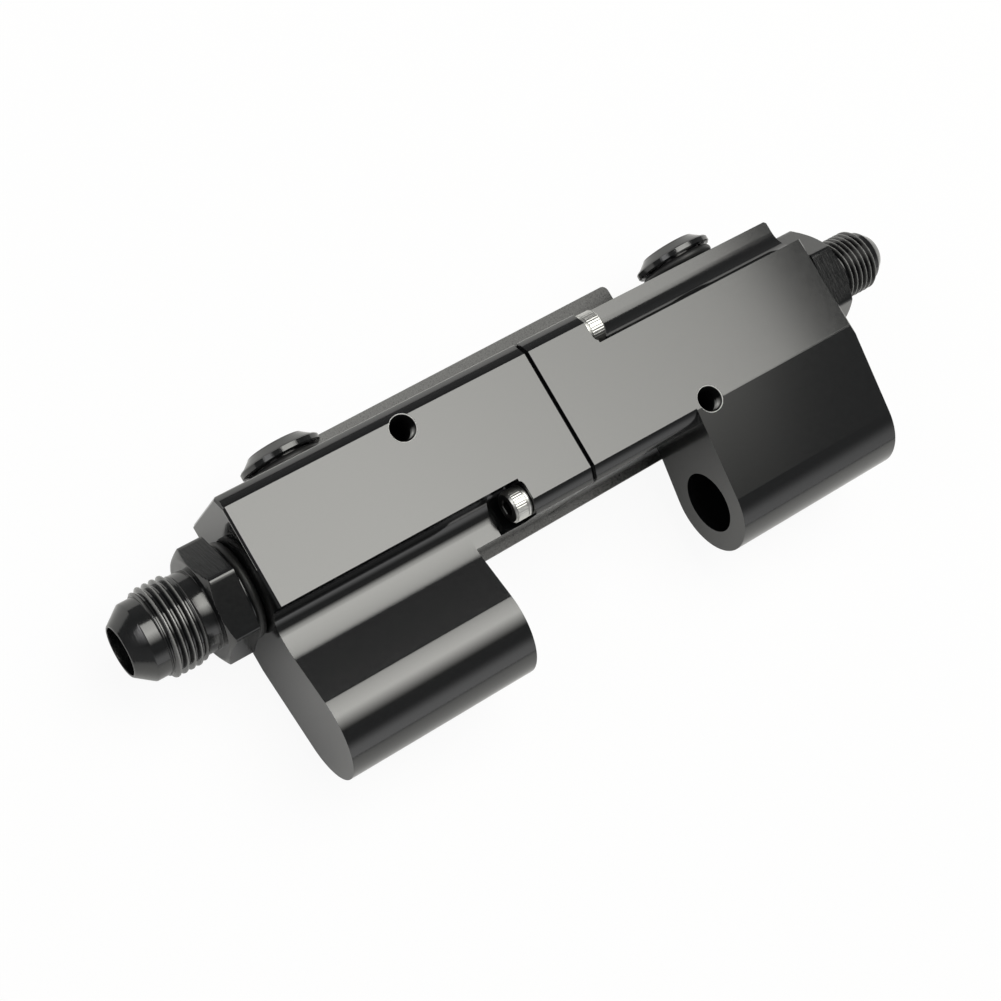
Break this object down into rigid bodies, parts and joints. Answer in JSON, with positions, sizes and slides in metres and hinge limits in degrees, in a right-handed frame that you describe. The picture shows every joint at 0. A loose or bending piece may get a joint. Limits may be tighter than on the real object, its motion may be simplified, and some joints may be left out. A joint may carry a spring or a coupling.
{
  "type": "flex fuel sensor adapter",
  "caption": "Black anodised two-piece fuel line adapter with lobes that hold a fuel composition sensor, threaded end fittings and a flat bracket.",
  "frame": {"origin": "back face of the bracket, straight below the flow axis at the seam between the blocks", "axes": "+X along the flow from the large fitting to the small one, +Y to the port plugs, +Z from the bracket to the front face"},
  "size_m": [0.1961, 0.0664, 0.0355],
  "materials": {
    "body_black": "satin",
    "fitting_black": "satin",
    "screw_steel": "satin",
    "bracket_coating": "matte",
    "seal_rubber": "matte"
  },
  "bodies": {
    "root": {"inlet_block": "body_black", "outlet_block": "body_black", "inlet_fitting": "fitting_black", "outlet_fitting": "fitting_black", "inlet_fitting_seal": "seal_rubber", "outlet_fitting_seal": "seal_rubber", "inlet_plug": "fitting_black", "outlet_plug": "fitting_black", "inlet_plug_seal": "seal_rubber", "outlet_plug_seal": "seal_rubber", "front_lower_screw": "screw_steel", "front_upper_screw": "screw_steel", "rear_upper_screw": "screw_steel", "rear_lower_screw": "screw_steel", "seam_seal": "seal_rubber", "inlet_sensor_seal": "seal_rubber", "outlet_sensor_seal": "seal_rubber", "bracket": "bracket_coating", "lower_bracket_screw": "screw_steel", "upper_bracket_screw": "screw_steel"}
  },
  "joints": []
}
